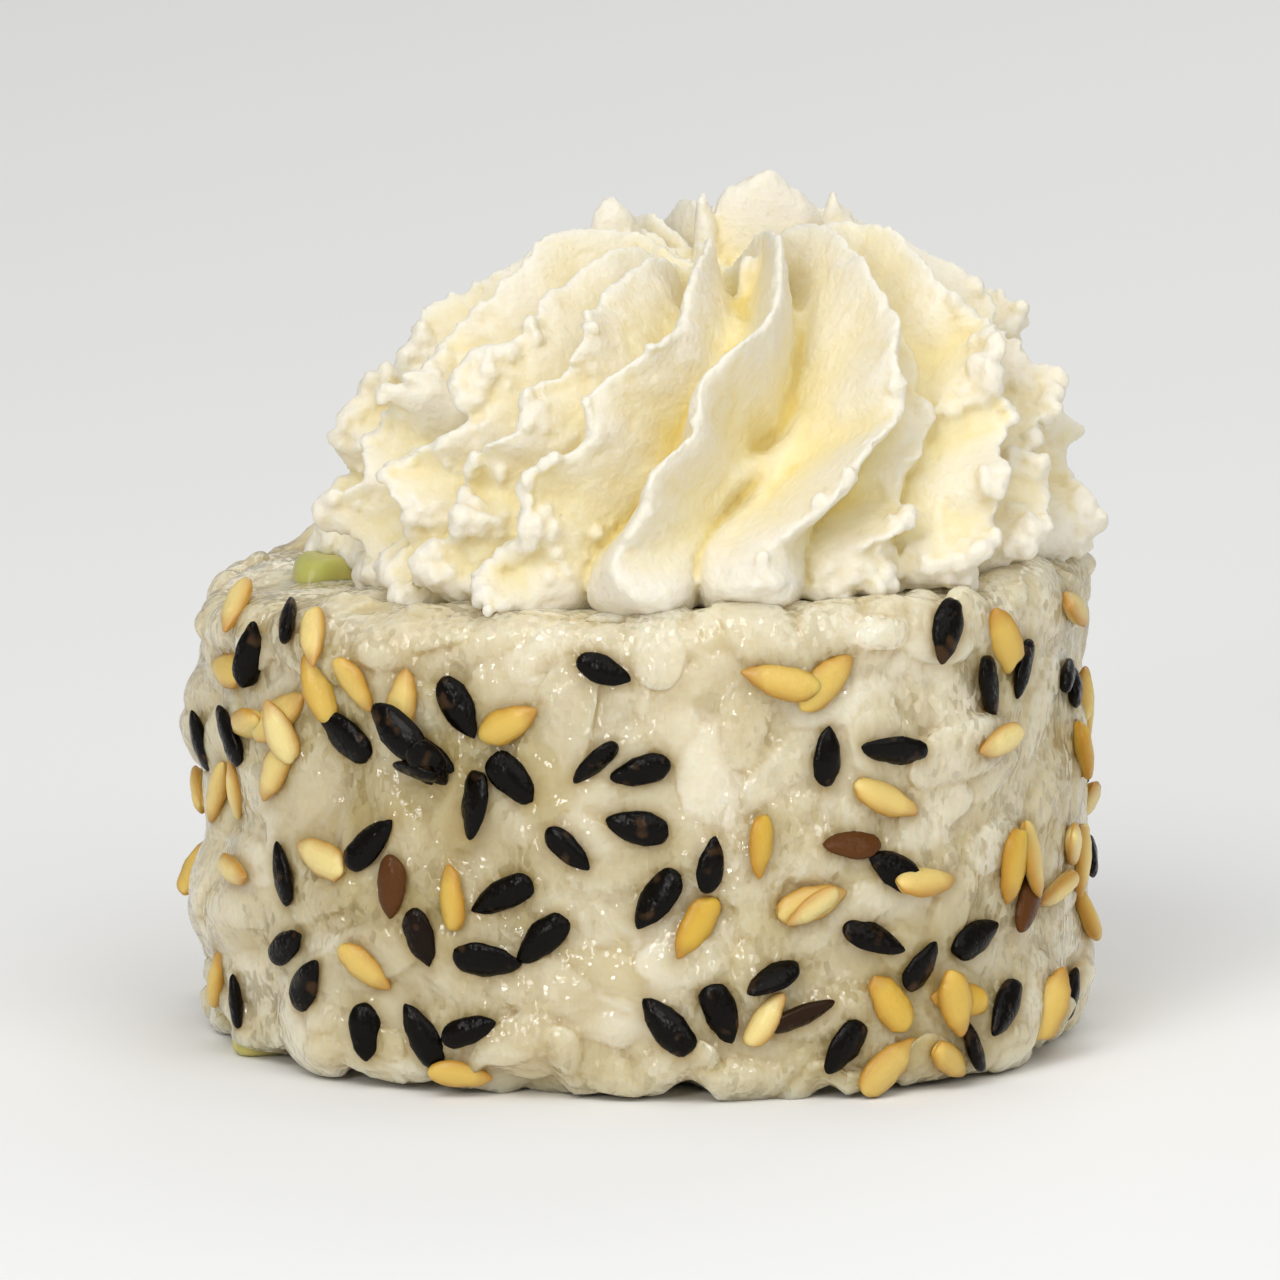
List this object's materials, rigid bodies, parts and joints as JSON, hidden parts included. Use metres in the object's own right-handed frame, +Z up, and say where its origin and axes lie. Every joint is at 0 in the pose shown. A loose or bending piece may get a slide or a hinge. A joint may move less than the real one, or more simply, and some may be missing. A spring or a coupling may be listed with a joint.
{
  "type": "sesame sushi roll piece with piped cream cheese",
  "caption": "Inside-out sushi roll piece, standing on its cut face, rolled in black and golden sesame, with a strip of avocado through it and a piped rosette of cream cheese on top.",
  "frame": {"origin": "on the surface it stands on, under the middle of the rice's base", "axes": "+Z up; -Y is the front, the side that the picture shows; the cut face that it stands on is at Z 0"},
  "size_m": [0.0441, 0.0442, 0.0422],
  "materials": {
    "sesame_rice": null,
    "avocado": null,
    "cream_cheese": null
  },
  "bodies": {
    "root": {"rice_roll": "sesame_rice", "avocado_strip": "avocado", "cream_cheese": "cream_cheese"}
  },
  "joints": []
}
